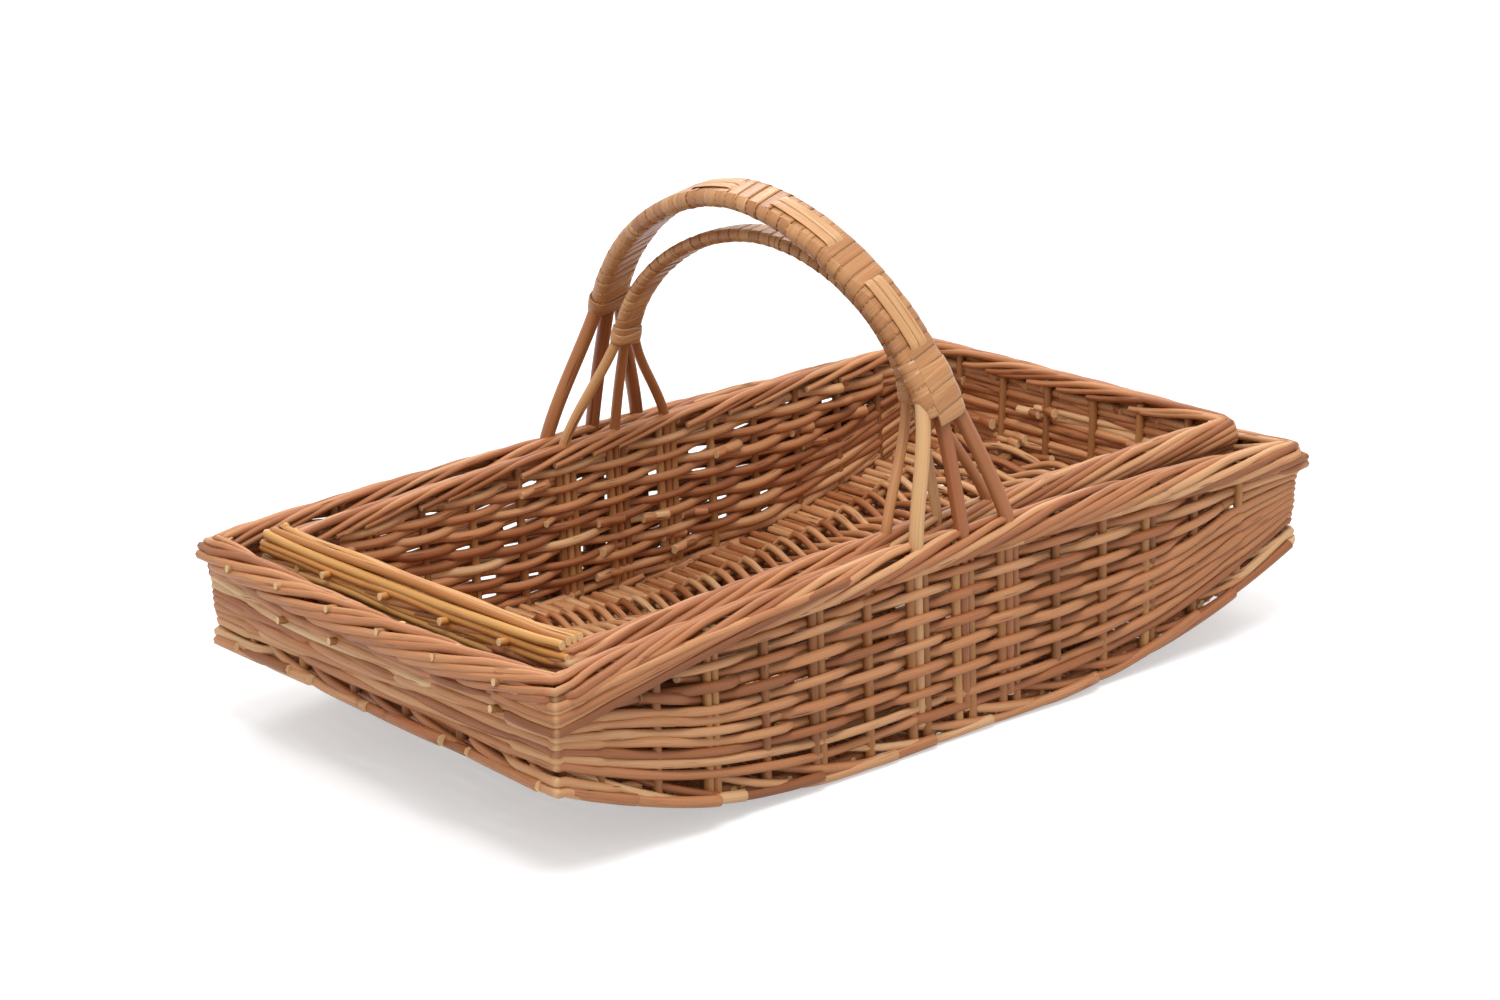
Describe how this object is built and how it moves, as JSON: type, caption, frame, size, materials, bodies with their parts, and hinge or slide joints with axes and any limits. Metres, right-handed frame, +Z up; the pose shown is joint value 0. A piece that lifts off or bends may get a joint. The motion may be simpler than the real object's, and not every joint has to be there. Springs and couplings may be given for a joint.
{
  "type": "nested willow trug set",
  "caption": "Nested pair of rectangular woven willow trugs with rocker bases, rolled borders and lapped bow handles; the smaller trug stands loose inside the larger one.",
  "frame": {"origin": "centre of the flat under the outer trug, level with the floor it stands on", "axes": "+X along the trugs' long side, towards the right of the picture; +Y across them, away from the camera; +Z up"},
  "size_m": [0.586, 0.33, 0.2974],
  "materials": {
    "willow_weave": "woven buff willow, satin",
    "willow_border": "buff willow rods laid side by side, satin",
    "willow_stick": "brown willow stakes and sticks, dull",
    "willow_rod": "whole willow rods with smooth bark, satin",
    "willow_skein": "split willow skein, shiny"
  },
  "bodies": {
    "outer_trug": {"outer_base_weave": "willow_weave", "outer_base_sticks": "willow_stick", "outer_foot_border_front": "willow_border", "outer_wall_front": "willow_weave", "outer_rim_border_front": "willow_border", "outer_stakes_front": "willow_stick", "outer_foot_border_back": "willow_border", "outer_wall_back": "willow_weave", "outer_rim_border_back": "willow_border", "outer_stakes_back": "willow_stick", "outer_foot_border_left": "willow_border", "outer_wall_left": "willow_weave", "outer_rim_border_left": "willow_border", "outer_stakes_left": "willow_stick", "outer_foot_border_right": "willow_border", "outer_wall_right": "willow_weave", "outer_rim_border_right": "willow_border", "outer_stakes_right": "willow_stick", "outer_corner_posts": "willow_stick", "outer_handle_rod_left": "willow_rod", "outer_handle_rod_middle": "willow_rod", "outer_handle_rod_right": "willow_rod", "outer_handle_collar_front": "willow_skein", "outer_handle_collar_back": "willow_skein", "outer_handle_lapping": "willow_skein"},
    "inner_trug": {"inner_base_weave": "willow_weave", "inner_base_sticks": "willow_stick", "inner_foot_border_front": "willow_border", "inner_wall_front": "willow_weave", "inner_rim_border_front": "willow_border", "inner_stakes_front": "willow_stick", "inner_foot_border_back": "willow_border", "inner_wall_back": "willow_weave", "inner_rim_border_back": "willow_border", "inner_stakes_back": "willow_stick", "inner_foot_border_left": "willow_border", "inner_wall_left": "willow_weave", "inner_rim_border_left": "willow_border", "inner_stakes_left": "willow_stick", "inner_foot_border_right": "willow_border", "inner_wall_right": "willow_weave", "inner_rim_border_right": "willow_border", "inner_stakes_right": "willow_stick", "inner_corner_posts": "willow_stick", "inner_handle_rod_left": "willow_rod", "inner_handle_rod_middle": "willow_rod", "inner_handle_rod_right": "willow_rod", "inner_handle_collar_front": "willow_skein", "inner_handle_collar_back": "willow_skein", "inner_handle_lapping": "willow_skein"}
  },
  "joints": [
    {"name": "inner_trug_lift", "type": "slide", "parent": "outer_trug", "child": "inner_trug", "axis": [0, 0, 1], "range_m": [0, 0.01]}
  ]
}
